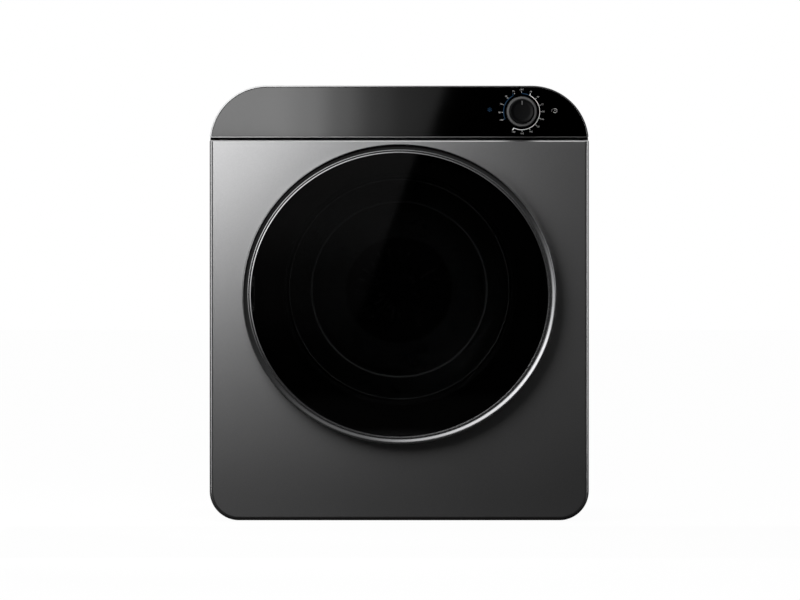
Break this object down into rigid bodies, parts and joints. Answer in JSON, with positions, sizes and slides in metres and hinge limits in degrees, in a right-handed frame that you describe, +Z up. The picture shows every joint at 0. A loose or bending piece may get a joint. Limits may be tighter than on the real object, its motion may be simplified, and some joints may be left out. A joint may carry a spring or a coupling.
{
  "type": "compact tumble dryer",
  "caption": "Compact front-loading vented tumble dryer with rounded case, oval black glass door, timer knob and rear exhaust spigot.",
  "frame": {"origin": "centre of the floor print, on the plane that the feet stand on", "axes": "+Z up, the door faces -Y, +X to the right seen from the front"},
  "size_m": [0.595, 0.51, 0.684],
  "materials": {
    "titanium_paint": "satin dark grey metallic paint",
    "case_paint": "satin dark grey paint",
    "rim_plastic": "silver grey painted moulding",
    "black_gloss": "gloss",
    "galvanised": "galvanised sheet",
    "felt": "pressed felt",
    "black_rubber": "matte",
    "motor_metal": "cast",
    "bright_steel": "ground",
    "drum_steel": "brushed",
    "heater_metal": "heat tinted",
    "pale_plastic": "moulded",
    "dark_plastic": "moulded",
    "grey_plastic": "moulded",
    "vent_plastic": "moulded",
    "bronze": "sintered",
    "door_chrome": "polished dark chrome",
    "black_glass": "gloss tinted",
    "clear_glass": "clear",
    "knob_black": "satin",
    "knob_grey": "satin"
  },
  "bodies": {
    "cabinet": {"cabinet_wrap": "case_paint", "front_panel": "titanium_paint", "fascia_frame": "rim_plastic", "fascia_insert": "black_gloss", "front_bulkhead": "galvanised", "drum_felt": "felt", "rear_bulkhead": "galvanised", "rear_seal": "felt", "base_pan": "galvanised", "feet": "black_rubber", "motor_housing": "motor_metal", "motor_bracket": "galvanised", "drum_belt": "black_rubber", "fan_belt": "black_rubber", "fan_housing": "grey_plastic", "exhaust_spigot": "vent_plastic", "heater_box": "galvanised", "heater_elements": "heater_metal", "thermostats": "pale_plastic", "rear_panel": "galvanised", "rear_cover": "galvanised", "case_screws": "bright_steel", "shaft_bracket": "galvanised", "rear_bearing": "bronze", "timer_body": "pale_plastic", "capacitor": "bright_steel", "terminal_block": "pale_plastic", "cord_gland": "black_rubber", "reed_switch": "pale_plastic", "latch_magnet": "dark_plastic", "hinge_bracket": "bright_steel", "idler_spring": "bright_steel"},
    "drum": {"drum_shell": "drum_steel", "drum_front": "drum_steel", "drum_back": "drum_steel", "lifter_1": "grey_plastic", "lifter_2": "grey_plastic", "lifter_3": "grey_plastic", "drum_spider": "bright_steel"},
    "filter": {"filter_cover": "grey_plastic", "filter_screen": "bright_steel"},
    "door": {"door_ring": "door_chrome", "door_glass": "black_glass", "door_frame": "dark_plastic", "door_bowl": "clear_glass", "door_seal": "black_rubber", "hinge_leaf": "bright_steel", "hinge_pin": "bright_steel", "strike_plate": "bright_steel"},
    "timer_knob": {"knob_cap": "knob_black", "knob_skirt": "knob_grey", "timer_shaft": "bright_steel"},
    "rotor": {"motor_rotor": "bright_steel", "motor_pulley": "motor_metal", "fan_drive_pulley": "dark_plastic"},
    "fan": {"fan_wheel": "grey_plastic", "fan_pulley": "dark_plastic"},
    "idler_arm": {"idler_arm": "galvanised"},
    "idler_pulley": {"idler_pulley": "pale_plastic"}
  },
  "joints": [
    {"name": "door_hinge", "type": "hinge", "parent": "cabinet", "child": "door", "pos_m": [-0.2356, -0.239, 0.3566], "axis": [0, 0, -1], "range_deg": [0, 118]},
    {"name": "drum_spin", "type": "hinge", "parent": "cabinet", "child": "drum", "pos_m": [0, 0.13, 0.3646], "axis": [0, 1, 0], "continuous": true},
    {"name": "filter_pull", "type": "slide", "parent": "drum", "child": "filter", "axis": [0, -1, 0], "range_m": [0, 0.12]},
    {"name": "timer_turn", "type": "hinge", "parent": "cabinet", "child": "timer_knob", "pos_m": [0.192, -0.221, 0.643], "axis": [0, 1, 0], "range_deg": [-110, 214]},
    {"name": "motor_spin", "type": "hinge", "parent": "cabinet", "child": "rotor", "pos_m": [0.2, 0.09, 0.08], "axis": [0, 1, 0], "continuous": true},
    {"name": "fan_spin", "type": "hinge", "parent": "cabinet", "child": "fan", "pos_m": [0, 0.165, 0.3646], "axis": [0, 1, 0], "continuous": true},
    {"name": "idler_swing", "type": "hinge", "parent": "cabinet", "child": "idler_arm", "pos_m": [0.158, 0.0375, 0.042], "axis": [0, 1, 0], "range_deg": [0, 8], "stiffness_Nm_per_rad": 2, "springref_deg": -20.05, "deforming": ["idler_spring"]},
    {"name": "idler_spin", "type": "hinge", "parent": "idler_arm", "child": "idler_pulley", "pos_m": [0.11256, 0.028, 0.08994], "axis": [0, 1, 0], "continuous": true}
  ],
  "couplings": [
    {"joint": "motor_spin", "follows": "drum_spin", "ratio": 34.526},
    {"joint": "fan_spin", "follows": "drum_spin", "ratio": 34.526},
    {"joint": "idler_spin", "follows": "drum_spin", "ratio": 17.601}
  ]
}
